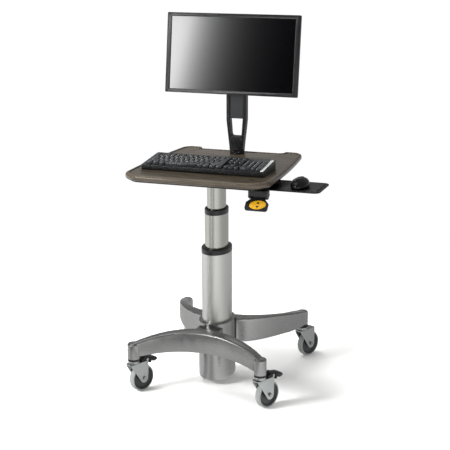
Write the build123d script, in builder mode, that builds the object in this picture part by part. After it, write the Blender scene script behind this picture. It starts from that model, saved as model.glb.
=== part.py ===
from build123d import *
import math
import os

os.makedirs("parts", exist_ok=True)

# A height-adjustable workstation cart on four casters. Millimetres. X runs to the user's
# right, the user stands at -Y, Z is up. The origin is on the floor, midway between the
# four caster pivots.

# ---- base ----
pivot_x = 241.5            # caster pivots, half the track
pivot_y = 274.0            # caster pivots, half the wheelbase
boss_r = 22.5              # round boss at the end of each leg
boss_bottom = 133.5
boss_top = 193.0
arch_crest = 239.0         # top of the legs at the hub
arch_end = 188.0           # top of the legs at the bosses
belly_crest = 163.0        # underside of the legs at the hub
belly_end = 138.0          # underside of the legs at the bosses
leg_round = 8.0
front_bow_y = -221.0       # front face of the front beam on the centre line
front_beam_depth = 50.0    # front to back, on the centre line
rear_front_y = -23.0       # front of the rear beam on the centre line
rear_legs_z0 = 141.0       # underside of the rear legs
rear_collar = 14.0         # extra wall of the rear beam behind the hub
bolt_gap, bolt_z, bolt_flat, bolt_head, bolt_thick = 14.0, 200.0, 9.0, 7.5, 6.0
tongue_bolt_y = -188.0
saddle_half = 45.0         # half-width of the block that joins hub and front beam
spot_y = 57.0              # flat seats for the rear screws
tongue_z0, tongue_z1 = 170.0, 184.0
tongue_half, tongue_front_y = 36.0, -206.0
saddle_rear_y = -84.0      # where the saddle runs into the hub ring
deep = 400.0               # longer than anything it cuts or trims

# ---- column ----
column_y = -44.0
hub_a, hub_b = 65.0, 90.0          # half-widths of the oval hub, across and along
outer_a, outer_b = 53.0, 74.0      # lower fixed tube
mid_a, mid_b = 41.0, 58.0          # middle tube
inner_a, inner_b = 33.0, 46.0      # upper tube
wall = 3.5
slide_gap = 0.3
hub_top = 244.0
hub_split = 150.0
hub_bottom = 22.0
outer_bottom, outer_top = 60.0, 501.0
collar_height = 20.0
collar_skirt = 40.0
collar_lip, collar_round = 0.6, 3.0
mid_bottom, mid_top = 240.0, 646.0
inner_bottom = 330.0
spring_r, spring_bore, rod_r = 14.0, 11.5, 5.0
spring_bottom, spring_top, rod_bottom = 34.0, 560.0, 262.0

# ---- worktop ----
top_z = 823.0
top_thickness = 22.0
deck_z = 820.0             # the recessed deck inside the raised rim
rim_width = 13.0
edge_round = 9.0
# half the outline of the worktop, from its front edge round to the recess at the rear
front_end, corner_end, side_end = (197, -306), (267, -237), (242, 228)
ear_start, ear_end, step_mid, recess_end = (198, 267), (178, 267), (164, 251.5), (150, 236)
pan_thickness = 6.0
pan_inset = 17.0
plate_w, plate_d, plate_thickness = 150.0, 170.0, 6.0
top_bottom = top_z - top_thickness
pan_bottom = top_bottom - pan_thickness      # lower edge of the pan's rim
pan_sheet = 2.0
under_pan = top_bottom - pan_sheet           # underside of the pan's sheet
insert_depth = 10.0
insert_x, insert_y, insert_pitch, insert_r = -150.0, 60.0, 75.0, 2.5
plate_hole_r, plate_hole_inset = 3.25, 13.0

# ---- height release ----
release_x, release_bottom = 230.0, 775.0
housing_half, housing_slot = 33.0, 27.0      # half-widths of the housing and of the slot for the paddle
housing_side = [(-280, 777), (-280, 772), (-268, 763), (-256, 763), (-240, 777)]
paddle_pin_y, paddle_pin_z, paddle_pin_r = -262.0, 769.0, 2.0

# ---- mouse tray and mouse ----
tray_top, tray_thickness = 785.0, 5.0
tray_in_x, tray_out_x = 96.0, 424.0
tray_front_y, tray_rear_y = -203.0, -47.0
rail_in_x, rail_out_x = 80.0, 240.0
knob_y, knob_z = -131.0, 792.0
knob_start, knob_length, knob_r = 10.5, 10.0, 5.5   # the grip starts outside the pan
mouse_x, mouse_y = 340.0, -138.0

# ---- keyboard ----
key_pitch, key_size, key_height = 19.05, 17.4, 8.0
board_w, board_d = 454.0, 160.0
board_x, board_y = -6.0, -112.0
board_front_h, board_rear_h = 18.0, 33.0   # on its raised feet

# ---- mast and monitor ----
mast_y, mast_depth = 190.0, 28.0
mast_top = 1280.0
rail_half = 39.0           # half the width of the mast
channel_half = 26.0        # half the width of the channel between its rails
channel_depth = 9.0
channel_top = 1276.0
window_top = 955.0
slider_z0, slider_z1 = 1168.0, 1232.0
tilt_y, tilt_z, tilt_pin_r = 164.0, 1201.0, 3.0
screen_tilt = 8.0          # degrees, the top edge leans away from the user
screen_y, screen_z = 124.0, 1201.0
monitor_w, monitor_h = 512.0, 294.0
active_w, active_h = 476.0, 266.0
monitor_depth, bezel_depth = 29.0, 15.0
bulge_w, bulge_h = 330.0, 180.0     # raised middle of the monitor's back

# ---- casters ----
caster_turn = 63.0         # degrees the casters are swivelled from +X, where they were last rolled
wheel_r, tyre_w, tyre_wall = 50.0, 25.0, 8.0
trail = 35.0               # wheel centre behind the swivel axis
crown_z = 110.0            # underside of the fork's crown
crown_thickness = 4.0
crown_front, crown_rear = -26.0, 59.0        # ends of the crown, measured from the swivel axis
fork_half, cheek, cheek_r = 17.0, 2.5, 17.0  # half-width, sheet thickness and rounded lower end
head_r, neck_r, neck_z = 21.0, 15.0, 117.0   # swivel head and the groove below it
head_z = 125.5             # top of the swivel head
stem_r, stem_top = 6.0, 172.0
rivet_r, rivet_h = 10.0, 4.0
axle_r, nut_r, nut_h = 4.0, 7.0, 4.5
running = 0.05             # radial clearance of a turning pin in its hole
pedal_t, pedal_z, pedal_pin_r = 52.0, 119.0, 2.0
pad_start, pad_half = 12.0, 17.0             # the foot pad widens behind the fork


def keep(piece, label):
    piece.label = label
    export_step(piece, f"parts/{label}.step")


def oval_tube(z0, z1, a, b, hole_a, hole_b):
    with BuildPart() as body:
        with BuildSketch(Plane.XY.offset(z0)):
            with Locations((0, column_y)):
                Ellipse(a, b)
                Ellipse(hole_a, hole_b, mode=Mode.SUBTRACT)
        extrude(amount=z1 - z0)
    return body.part


def tube_collar(tube_top, a, b, slide_a, slide_b, label):
    # caps a tube, lines it with a skirt and guides the tube that slides in it
    with BuildPart() as collar:
        with BuildSketch(Plane.XY.offset(tube_top)):
            with Locations((0, column_y)):
                Ellipse(a + collar_lip, b + collar_lip)
        extrude(amount=collar_height)
        fillet(collar.edges().group_by(Axis.Z)[-1], collar_round)
        with BuildSketch(Plane.XY.offset(tube_top - collar_skirt)):
            with Locations((0, column_y)):
                Ellipse(a - wall, b - wall)
        extrude(amount=collar_skirt)
        with BuildSketch(Plane.XY.offset(tube_top - collar_skirt)):
            with Locations((0, column_y)):
                Ellipse(slide_a + slide_gap, slide_b + slide_gap)
        extrude(amount=collar_skirt + collar_height, mode=Mode.SUBTRACT)
    keep(collar.part, label)


def arch_side_view():
    # side view shared by all legs: a crowned top and an arched underside
    half = pivot_x + boss_r + 1
    with BuildSketch(Plane.XZ) as side:
        with BuildLine():
            crown = ThreePointArc((-half, arch_end - 4), (0, arch_crest), (half, arch_end - 4))
            right = Line(crown @ 1, (half, belly_end - 2))
            belly = ThreePointArc(right @ 1, (0, belly_crest), (-half, belly_end - 2))
            Line(belly @ 1, crown @ 0)
        make_face()
    return side.sketch


def boss_section(x, y):
    # half section of a caster boss with a rounded top, to be turned about its pivot
    with BuildSketch(Plane(origin=(x, y, 0), x_dir=(1, 0, 0), z_dir=(0, -1, 0))) as half:
        with BuildLine():
            Polyline((0, boss_top), (0, boss_bottom), (boss_r, boss_bottom), (boss_r, boss_top - leg_round))
            RadiusArc((boss_r, boss_top - leg_round), (boss_r - leg_round, boss_top), -leg_round)
            Line((boss_r - leg_round, boss_top), (0, boss_top))
        make_face()
    return half.sketch


# ================= base =================

# The front beam bows back to the hub and ends in two caster bosses.
beam_rear_y = front_bow_y + front_beam_depth
with BuildPart() as front_beam:
    with BuildSketch(Plane.XY.offset(boss_bottom)):
        with BuildLine():
            y_out, y_in = -pivot_y - boss_r, -pivot_y + boss_r
            face = ThreePointArc((-pivot_x, y_out), (0, front_bow_y), (pivot_x, y_out))
            tip = Line(face @ 1, (pivot_x, y_in))
            back = ThreePointArc(tip @ 1, (0, beam_rear_y), (-pivot_x, y_in))
            Line(back @ 1, face @ 0)
        make_face()
    extrude(amount=arch_crest)
    extrude(arch_side_view(), amount=deep, both=True, mode=Mode.INTERSECT)
    top_face = front_beam.faces().sort_by(Axis.Z)[-1]
    fillet(top_face.edges().filter_by(lambda e: e.length > pivot_x), leg_round)
    for x in (-pivot_x, pivot_x):
        revolve(boss_section(x, -pivot_y), axis=Axis((x, -pivot_y, 0), (0, 0, 1)))
    with Locations((-pivot_x, -pivot_y, boss_bottom), (pivot_x, -pivot_y, boss_bottom)):
        Cylinder(stem_r, stem_top - boss_bottom, align=(Align.CENTER, Align.CENTER, Align.MIN),
                 mode=Mode.SUBTRACT)
    with BuildSketch(Plane.XY.offset(boss_bottom)):
        with Locations((0, (tongue_front_y + beam_rear_y) / 2 + 5)):
            Rectangle(2 * tongue_half, beam_rear_y - tongue_front_y + 10)
    extrude(amount=tongue_z1 - boss_bottom, mode=Mode.SUBTRACT)
keep(front_beam.part, "front_beam")

# The rear beam is a deep U: its legs swing out from the hub, then run back to the rear casters.
with BuildPart() as rear_beam:
    with BuildSketch(Plane.XY.offset(boss_bottom)):
        with BuildLine():
            outer_spots = [(-209, 119), (-134, 21), (0, -36), (134, 21), (209, 119)]
            inner_spots = [(196, 170), (161, 112), (104, 64), (0, 45), (-104, 64), (-161, 112), (-196, 170)]
            out = Spline((-pivot_x - boss_r, pivot_y), *outer_spots, (pivot_x + boss_r, pivot_y),
                         tangents=[(0.15, -1), (0.15, 1)])
            tip = Line(out @ 1, (pivot_x - boss_r, pivot_y))
            inn = Spline(tip @ 1, *inner_spots, (-pivot_x + boss_r, pivot_y),
                         tangents=[(-0.3, -1), (-0.3, 1)])
            Line(inn @ 1, out @ 0)
        make_face()
        with Locations((0, column_y)):
            Ellipse(hub_a + 1, hub_b + rear_collar)
        with Locations((0, rear_front_y - pivot_y)):
            Rectangle(2 * pivot_x, 2 * pivot_y, mode=Mode.SUBTRACT)
    extrude(amount=arch_crest)
    with BuildSketch(Plane.YZ):
        with BuildLine():
            crown = ThreePointArc((-70, arch_crest), (118, 222), (pivot_y + boss_r, arch_end - 2))
            tail = Line(crown @ 1, (pivot_y + boss_r, belly_end))
            belly = ThreePointArc(tail @ 1, (120, rear_legs_z0 + 1), (-70, rear_legs_z0))
            Line(belly @ 1, crown @ 0)
        make_face()
    extrude(amount=2 * pivot_x, both=True, mode=Mode.INTERSECT)
    for x in (-pivot_x, pivot_x):
        revolve(boss_section(x, pivot_y), axis=Axis((x, pivot_y, 0), (0, 0, 1)))
    with Locations((-pivot_x, pivot_y, boss_bottom), (pivot_x, pivot_y, boss_bottom)):
        Cylinder(stem_r, stem_top - boss_bottom, align=(Align.CENTER, Align.CENTER, Align.MIN),
                 mode=Mode.SUBTRACT)
    with BuildSketch(Plane.XY.offset(hub_bottom)):
        with Locations((0, column_y)):
            Ellipse(hub_a, hub_b)
    extrude(amount=arch_crest, mode=Mode.SUBTRACT)
    with BuildSketch(Plane.XZ.offset(-spot_y)):
        with Locations((-bolt_gap, bolt_z), (bolt_gap, bolt_z)):
            Circle(bolt_flat)
    extrude(amount=-2 * bolt_flat, mode=Mode.SUBTRACT)
keep(rear_beam.part, "rear_beam")

# The hub ring holds the column and carries a saddle for the front beam.
with BuildPart() as hub_housing:
    with BuildSketch(Plane.XY.offset(hub_split)):
        with Locations((0, column_y)):
            Ellipse(hub_a, hub_b)
    extrude(amount=hub_top - hub_split)
    fillet(hub_housing.edges().group_by(Axis.Z)[-1], 4)
    with BuildSketch(Plane.XY.offset(tongue_z0)):
        with BuildLine():
            boss_back_y = -pivot_y + boss_r
            back = ThreePointArc((pivot_x, boss_back_y), (0, beam_rear_y), (-pivot_x, boss_back_y))
            Polyline(back @ 1, (-pivot_x, saddle_rear_y), (pivot_x, saddle_rear_y), back @ 0)
        make_face()
        with Locations((0, saddle_rear_y - deep / 2)):
            Rectangle(2 * saddle_half, deep, mode=Mode.INTERSECT)
    extrude(amount=arch_crest - 12 - tongue_z0)
    with BuildSketch(Plane.XY.offset(tongue_z0)):
        with Locations((0, (tongue_front_y + saddle_rear_y) / 2)):
            Rectangle(2 * tongue_half, saddle_rear_y - tongue_front_y)
    extrude(amount=tongue_z1 - tongue_z0)
    with BuildSketch(Plane.XY.offset(hub_split)):
        with Locations((0, column_y)):
            Ellipse(outer_a, outer_b)
    extrude(amount=deep, mode=Mode.SUBTRACT)
keep(hub_housing.part, "hub_housing")

# The bottom cover closes the hub below the legs.
with BuildPart() as hub_bottom_cover:
    with BuildSketch(Plane.XY.offset(hub_bottom)):
        with Locations((0, column_y)):
            Ellipse(hub_a, hub_b)
    extrude(amount=hub_split - hub_bottom)
    fillet(hub_bottom_cover.edges().group_by(Axis.Z)[0], 9)
    with BuildSketch(Plane.XY.offset(outer_bottom)):
        with Locations((0, column_y)):
            Ellipse(outer_a, outer_b)
    extrude(amount=deep, mode=Mode.SUBTRACT)
    with BuildSketch(Plane.XY.offset(spring_bottom)):
        with Locations((0, column_y)):
            Ellipse(mid_a, mid_b)
    extrude(amount=deep, mode=Mode.SUBTRACT)
keep(hub_bottom_cover.part, "hub_bottom_cover")

# Hex screws: two up into the saddle tongue, two through the back of the rear beam.
with BuildPart() as leg_bolts:
    with BuildSketch(Plane.XY.offset(tongue_z0 - bolt_thick)):
        with Locations((-tongue_half / 2, tongue_bolt_y), (tongue_half / 2, tongue_bolt_y)):
            RegularPolygon(bolt_head, 6)
    extrude(amount=bolt_thick)
    with BuildSketch(Plane.XZ.offset(-spot_y)):
        with Locations((-bolt_gap, bolt_z), (bolt_gap, bolt_z)):
            RegularPolygon(bolt_head, 6)
    extrude(amount=-bolt_thick)
keep(leg_bolts.part, "leg_bolts")

# Caster stems: a pin pressed into each boss, a black ring below it and a rivet head.
with BuildPart() as caster_stems:
    corners = [(sx * pivot_x, sy * pivot_y) for sx in (-1, 1) for sy in (-1, 1)]
    for radius, z0, z1 in ((stem_r, crown_z - rivet_h, stem_top), (boss_r, head_z + slide_gap, boss_bottom),
                           (rivet_r, crown_z - rivet_h, crown_z - slide_gap)):
        with BuildSketch(Plane.XY.offset(z0)):
            with Locations(*corners):
                Circle(radius)
        extrude(amount=z1 - z0)
keep(caster_stems.part, "caster_stems")

# ================= column =================

outer_column = oval_tube(outer_bottom, outer_top, outer_a, outer_b, outer_a - wall, outer_b - wall)
keep(outer_column, "outer_column")

mid_column = oval_tube(mid_bottom, mid_top, mid_a, mid_b, mid_a - wall, mid_b - wall)
keep(mid_column, "mid_column")

tube_collar(outer_top, outer_a, outer_b, mid_a, mid_b, "lower_collar")
tube_collar(mid_top, mid_a, mid_b, inner_a, inner_b, "upper_collar")

plate_z = under_pan - plate_thickness
inner_column = oval_tube(inner_bottom, plate_z, inner_a, inner_b, inner_a - wall, inner_b - wall)
keep(inner_column, "inner_column")

with BuildPart() as gas_spring_cylinder:
    with BuildSketch(Plane.XY.offset(spring_bottom)):
        with Locations((0, column_y)):
            Circle(spring_r)
    extrude(amount=spring_top - spring_bottom)
    with BuildSketch(Plane.XY.offset(spring_bottom + 4)):
        with Locations((0, column_y)):
            Circle(spring_bore)
    extrude(amount=spring_top - spring_bottom - 14, mode=Mode.SUBTRACT)
    with BuildSketch(Plane.XY.offset(spring_top - 12)):
        with Locations((0, column_y)):
            Circle(rod_r + running)
    extrude(amount=20, mode=Mode.SUBTRACT)
keep(gas_spring_cylinder.part, "gas_spring_cylinder")

with BuildPart() as gas_spring_rod:
    with BuildSketch(Plane.XY.offset(rod_bottom)):
        with Locations((0, column_y)):
            Circle(rod_r)
    extrude(amount=plate_z - rod_bottom)
    with BuildSketch(Plane.XY.offset(rod_bottom)):
        with Locations((0, column_y)):
            Circle(spring_bore - slide_gap)
    extrude(amount=12)
keep(gas_spring_rod.part, "gas_spring_rod")

# ================= worktop =================

with BuildPart() as column_top_plate:
    with BuildSketch(Plane.XY.offset(plate_z)):
        with Locations((0, column_y)):
            RectangleRounded(plate_w, plate_d, 14)
    extrude(amount=plate_thickness)
    with BuildSketch(Plane.XY.offset(plate_z)):
        with Locations((0, column_y)):
            with GridLocations(plate_w - 2 * plate_hole_inset, plate_d - 2 * plate_hole_inset, 2, 2):
                Circle(plate_hole_r)
    extrude(amount=plate_thickness, mode=Mode.SUBTRACT)
keep(column_top_plate.part, "column_top_plate")


def worktop_outline(z):
    # half the outline: straight front, round corners, tapering sides, ears round a rear recess
    with BuildSketch(Plane.XY.offset(z)) as outline:
        with BuildLine():
            front = Line((0, front_end[1]), front_end)
            corner = TangentArc(front @ 1, corner_end, tangent=(1, 0))
            side = TangentArc(corner @ 1, side_end, tangent=corner % 1)
            rear = TangentArc(side @ 1, ear_start, tangent=side % 1)
            ear = Line(rear @ 1, ear_end)
            step = TangentArc(ear @ 1, step_mid, tangent=(-1, 0))
            foot = TangentArc(step @ 1, recess_end, tangent=step % 1)
            Polyline(foot @ 1, (0, recess_end[1]), front @ 0)
        make_face()
        mirror(about=Plane.YZ)
    return outline.sketch


with BuildPart() as worktop:
    extrude(worktop_outline(top_bottom), amount=top_thickness)
    fillet(worktop.edges().group_by(Axis.Z)[-1], edge_round)
    fillet(worktop.edges().group_by(Axis.Z)[0], edge_round)
    with BuildSketch(Plane.XY.offset(deck_z)):
        offset(worktop_outline(0), amount=-rim_width)
    extrude(amount=top_thickness, mode=Mode.SUBTRACT)
    with BuildSketch(Plane.XY.offset(top_bottom)):
        with Locations((insert_x, insert_y)):
            with GridLocations(insert_pitch, insert_pitch, 2, 2):
                Circle(insert_r)
    extrude(amount=insert_depth, mode=Mode.SUBTRACT)
keep(worktop.part, "worktop")

# The black steel pan under the worktop, with four holes for hanging an accessory.
with BuildPart() as support_pan:
    with BuildSketch(Plane.XY.offset(pan_bottom)):
        offset(worktop_outline(0), amount=-pan_inset)
    extrude(amount=pan_thickness)
    with BuildSketch(Plane.XY.offset(pan_bottom)):
        offset(worktop_outline(0), amount=-pan_inset - pan_sheet)
    extrude(amount=pan_thickness - pan_sheet, mode=Mode.SUBTRACT)
    with BuildSketch(Plane.XY.offset(pan_bottom)):
        with Locations((insert_x, insert_y)):
            with GridLocations(insert_pitch, insert_pitch, 2, 2):
                Circle(insert_r)
    extrude(amount=pan_thickness, mode=Mode.SUBTRACT)
keep(support_pan.part, "support_pan")

# ---- height release under the front right of the worktop ----
with BuildPart() as release_housing:
    with BuildSketch(Plane.XY.offset(release_bottom)):
        with Locations((release_x, paddle_pin_y)):
            RectangleRounded(2 * housing_half, 50, 10)
    extrude(amount=pan_bottom - release_bottom)
    fillet(release_housing.edges().group_by(Axis.Z)[0], 3)
    with BuildSketch(Plane.YZ.offset(release_x - housing_half)):
        with BuildLine():
            Polyline(*housing_side, close=True)
        make_face()
    extrude(amount=2 * housing_half)
    with BuildSketch(Plane.YZ.offset(release_x - housing_slot)):
        with Locations((paddle_pin_y, release_bottom - 12)):
            Rectangle(64, 24)
    extrude(amount=2 * housing_slot, mode=Mode.SUBTRACT)
    with BuildSketch(Plane.YZ.offset(release_x - housing_half)):
        with Locations((paddle_pin_y, paddle_pin_z)):
            Circle(paddle_pin_r)
    extrude(amount=2 * housing_half, mode=Mode.SUBTRACT)
keep(release_housing.part, "release_housing")

paddle_origin = (release_x, paddle_pin_y - 3, paddle_pin_z + 2)
paddle_plane = Plane(origin=paddle_origin, x_dir=(1, 0, 0), z_dir=(0, -1, 1))
paddle_half = [(25, 1), (25, -9), (40, -24), (40, -54)]      # right half of the blade's outline
with BuildPart() as release_paddle:
    with BuildSketch(paddle_plane):
        with BuildLine():
            Polyline(*paddle_half, *[(-x, y) for x, y in reversed(paddle_half)], close=True)
        blade = make_face()
        fillet(blade.vertices().group_by(Axis.Y)[0], 9)
    extrude(amount=-7)
    with BuildSketch(Plane.YZ.offset(release_x - housing_slot + slide_gap)):
        with Locations((paddle_pin_y, paddle_pin_z)):
            Circle(5)
    extrude(amount=2 * (housing_slot - slide_gap))
    with BuildSketch(Plane.YZ.offset(release_x - housing_half)):
        with Locations((paddle_pin_y, paddle_pin_z)):
            Circle(paddle_pin_r + running)
    extrude(amount=2 * housing_half, mode=Mode.SUBTRACT)
keep(release_paddle.part, "release_paddle")

with BuildPart() as release_label:
    with BuildSketch(paddle_plane):
        with Locations((4, -33)):
            Ellipse(29, 17, rotation=8)
    extrude(amount=0.8)
keep(release_label.part, "release_label")

with BuildPart() as paddle_pin:
    with BuildSketch(Plane.YZ.offset(release_x - housing_half)):
        with Locations((paddle_pin_y, paddle_pin_z)):
            Circle(paddle_pin_r)
    extrude(amount=2 * housing_half)
keep(paddle_pin.part, "paddle_pin")

# ---- sliding mouse tray ----
tray_mid_y = (tray_front_y + tray_rear_y) / 2
tray_bottom = tray_top - tray_thickness
with BuildPart() as tray_rails:
    with BuildSketch(Plane.YZ.offset(rail_in_x)):
        with BuildLine():
            groove = slide_gap + 0.1
            Polyline((tray_front_y - 8, tray_bottom - 4), (tray_front_y + 6, tray_bottom - 4),
                     (tray_front_y + 6, tray_bottom - groove), (tray_front_y - groove, tray_bottom - groove),
                     (tray_front_y - groove, tray_top + groove), (tray_front_y + 6, tray_top + groove),
                     (tray_front_y + 6, under_pan), (tray_front_y - 8, under_pan), close=True)
        make_face()
        mirror(about=Plane.YZ.offset(tray_mid_y))
    extrude(amount=rail_out_x - rail_in_x)
    with BuildSketch(Plane.XY.offset(under_pan - 5)):
        with Locations((rail_out_x - 7, tray_mid_y), (rail_in_x + 7, tray_mid_y)):
            Rectangle(14, tray_rear_y - tray_front_y)
    extrude(amount=5)
    with BuildSketch(Plane.YZ.offset(rail_out_x - 14)):
        with Locations((knob_y, knob_z)):
            Rectangle(14, 2 * (pan_bottom - knob_z))
    extrude(amount=14)
    with BuildSketch(Plane.YZ.offset(rail_out_x - 14)):
        with Locations((knob_y, knob_z)):
            Circle(2 + running)
    extrude(amount=14, mode=Mode.SUBTRACT)
keep(tray_rails.part, "tray_rails")

with BuildPart() as tray_knob:
    with BuildSketch(Plane.YZ.offset(rail_out_x - 12)):
        with Locations((knob_y, knob_z)):
            Circle(2)
    extrude(amount=knob_start + 12)
    with BuildSketch(Plane.YZ.offset(rail_out_x + knob_start)):
        with Locations((knob_y, knob_z)):
            Circle(knob_r)
            with PolarLocations(knob_r, 8):
                Circle(0.8, mode=Mode.SUBTRACT)
    extrude(amount=knob_length)
    fillet(tray_knob.faces().sort_by(Axis.X)[-1].edges(), 0.4)
keep(tray_knob.part, "tray_knob")

with BuildPart() as mouse_tray:
    with BuildSketch(Plane.XY.offset(tray_bottom)):
        with Locations(((tray_in_x + tray_out_x) / 2, tray_mid_y)):
            plate = Rectangle(tray_out_x - tray_in_x, tray_rear_y - tray_front_y)
        fillet(plate.vertices().group_by(Axis.X)[-1], 22)
    extrude(amount=tray_thickness)
    # a low lip near the outer end keeps the mouse on the tray
    with BuildSketch(Plane.XY.offset(tray_top)):
        with Locations((tray_out_x - 14, tray_mid_y)):
            RectangleRounded(6, 108, 2.5)
    extrude(amount=3)
keep(mouse_tray.part, "mouse_tray")

# ---- mouse: one rounded form, divided into shell and two buttons ----
# its levels are a height above the tray, a half-width and a half-length
mouse_levels = [(0, 28, 49), (5, 31, 53), (15, 30.5, 52), (25, 25, 43), (31, 16, 29), (34, 6, 12)]
with BuildPart() as mouse_form:
    for height, across, along in mouse_levels:
        with BuildSketch(Plane.XY.offset(tray_top + height)):
            with Locations((mouse_x, mouse_y)):
                Ellipse(across, along)
    loft()

wheel_y, wheel_z, scroll_r = mouse_y + 28, tray_top + 21.5, 11.0
slot_w, slot_d = 9.0, 2 * scroll_r + 3
button_floor = tray_top + 15
button_rear_y = mouse_y + 6
with BuildPart() as mouse_shell:
    add(mouse_form.part)
    with Locations((mouse_x, button_rear_y, button_floor - 1.2)):
        Box(70, 60, 30, align=(Align.CENTER, Align.MIN, Align.MIN), mode=Mode.SUBTRACT)
    with Locations((mouse_x, wheel_y, wheel_z)):
        Box(slot_w, slot_d, slot_d, mode=Mode.SUBTRACT)
keep(mouse_shell.part, "mouse_shell")

for label, side in (("mouse_button_left", -1), ("mouse_button_right", 1)):
    with BuildPart() as mouse_button:
        add(mouse_form.part)
        with Locations((mouse_x + side * 20.4, button_rear_y + 0.4, button_floor)):
            Box(40, 60, 30, align=(Align.CENTER, Align.MIN, Align.MIN), mode=Mode.INTERSECT)
        with Locations((mouse_x, wheel_y, wheel_z)):
            Box(slot_w, slot_d, slot_d, mode=Mode.SUBTRACT)
    keep(mouse_button.part, label)

with BuildPart() as mouse_wheel:
    with BuildSketch(Plane.YZ.offset(mouse_x - 3.5)):
        with Locations((wheel_y, wheel_z)):
            Circle(scroll_r)
    extrude(amount=7)
    fillet(mouse_wheel.edges().filter_by(GeomType.CIRCLE), 1.5)
keep(mouse_wheel.part, "mouse_wheel")

# ---- keyboard ----
board_slope = math.degrees(math.atan2(board_rear_h - board_front_h, board_d))
board_mid_z = deck_z + (board_front_h + board_rear_h) / 2
key_plane = Plane(origin=(board_x, board_y, board_mid_z), x_dir=(1, 0, 0),
                  z_dir=(0, -math.sin(math.radians(board_slope)), math.cos(math.radians(board_slope))))
# each run: row height above the bottom row, first key's left edge, key widths, all in key pitches
key_runs = [
    (5.35, 0, [1]), (5.35, 2, [1] * 4), (5.35, 6.5, [1] * 4), (5.35, 11, [1] * 4), (5.35, 15.25, [1] * 3),
    (4, 0, [1] * 13 + [2]), (4, 15.25, [1] * 3), (4, 18.5, [1] * 4),
    (3, 0, [1.5] + [1] * 12 + [1.5]), (3, 15.25, [1] * 3), (3, 18.5, [1] * 3),
    (2, 0, [1.75] + [1] * 11 + [2.25]), (2, 18.5, [1] * 3),
    (1, 0, [2.25] + [1] * 10 + [2.75]), (1, 16.25, [1]), (1, 18.5, [1] * 3),
    (0, 0, [1.25] * 3), (0, 10, [1.25] * 4), (0, 15.25, [1] * 3), (0, 18.5, [2, 1]),
]
tall_keys = [(0.5, 21.5), (2.5, 21.5)]
space_left, space_units = 3.75, 6.25
field_left, field_low = -11.25, -3.1
key_sink, key_well = 0.8, 4.0


def key_spot(left, width, row):
    return ((field_left + left + width / 2) * key_pitch, (field_low + row) * key_pitch + 4)


with BuildPart() as keyboard_case:
    with BuildSketch(Plane.YZ.offset(board_x - board_w / 2)):
        with BuildLine():
            front, rear = board_y - board_d / 2, board_y + board_d / 2
            Polyline((front, deck_z), (front, deck_z + board_front_h), (rear, deck_z + board_rear_h),
                     (rear, deck_z), close=True)
        make_face()
    extrude(amount=board_w)
    fillet(keyboard_case.edges().filter_by(Axis.Z), 8)
    fillet(keyboard_case.faces().sort_by(Axis.Z)[-1].edges(), 2.5)
    with BuildSketch(key_plane):
        for left, units, low, rows in ((0, 15, 0, 5), (15.25, 3, 0, 1), (16.25, 1, 1, 1), (15.25, 3, 3, 2),
                                       (18.5, 4, 0, 5), (0, 1, 5.35, 1), (2, 4, 5.35, 1), (6.5, 4, 5.35, 1),
                                       (11, 4, 5.35, 1), (15.25, 3, 5.35, 1)):
            x, y = key_spot(left, units, low + (rows - 1) / 2)
            with Locations((x, y)):
                Rectangle(units * key_pitch, rows * key_pitch)
    extrude(amount=-key_well, mode=Mode.SUBTRACT)
keep(keyboard_case.part, "keyboard_case")

key_places = {}
for row, left, widths in key_runs:
    for width in widths:
        key_places.setdefault(width, []).append(key_spot(left, width, row))
        left += width
with BuildPart() as keyboard_keys:
    for width, places in key_places.items():
        with BuildSketch(key_plane.offset(-key_sink)):
            with Locations(*places):
                Rectangle((width - 1) * key_pitch + key_size, key_size)
        extrude(amount=key_height + key_sink, taper=9)
    with BuildSketch(key_plane.offset(-key_sink)):
        with Locations(*[key_spot(left, 1, row) for row, left in tall_keys]):
            Rectangle(key_size, key_pitch + key_size)
    extrude(amount=key_height + key_sink, taper=9)
keep(keyboard_keys.part, "keyboard_keys")

with BuildPart() as keyboard_spacebar:
    with BuildSketch(key_plane.offset(-key_sink)):
        with Locations(key_spot(space_left, space_units, 0)):
            Rectangle((space_units - 1) * key_pitch + key_size, key_size)
    extrude(amount=key_height + key_sink, taper=9)
keep(keyboard_spacebar.part, "keyboard_spacebar")

# ================= mast and monitor =================

foot_r, foot_h = 28.0, 8.0
mast_front_y, mast_back_y = mast_y - mast_depth / 2, mast_y + mast_depth / 2
mast_bottom = deck_z + foot_h
with BuildPart() as mast_foot:
    with BuildSketch(Plane.XY.offset(deck_z)):
        with Locations((0, mast_y)):
            Circle(foot_r)
    extrude(amount=foot_h)
    fillet(mast_foot.edges().group_by(Axis.Z)[-1], 2.5)
keep(mast_foot.part, "mast_foot")

with BuildPart() as mast_bolts:
    for side in (-1, 1):
        with BuildSketch(Plane.XY.offset(mast_bottom)):
            with Locations((-12, mast_y + side * 20), (12, mast_y + side * 20)):
                Circle(3.5)
                RegularPolygon(1.7, 6, mode=Mode.SUBTRACT)
        extrude(amount=2.5)
keep(mast_bolts.part, "mast_bolts")

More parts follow.
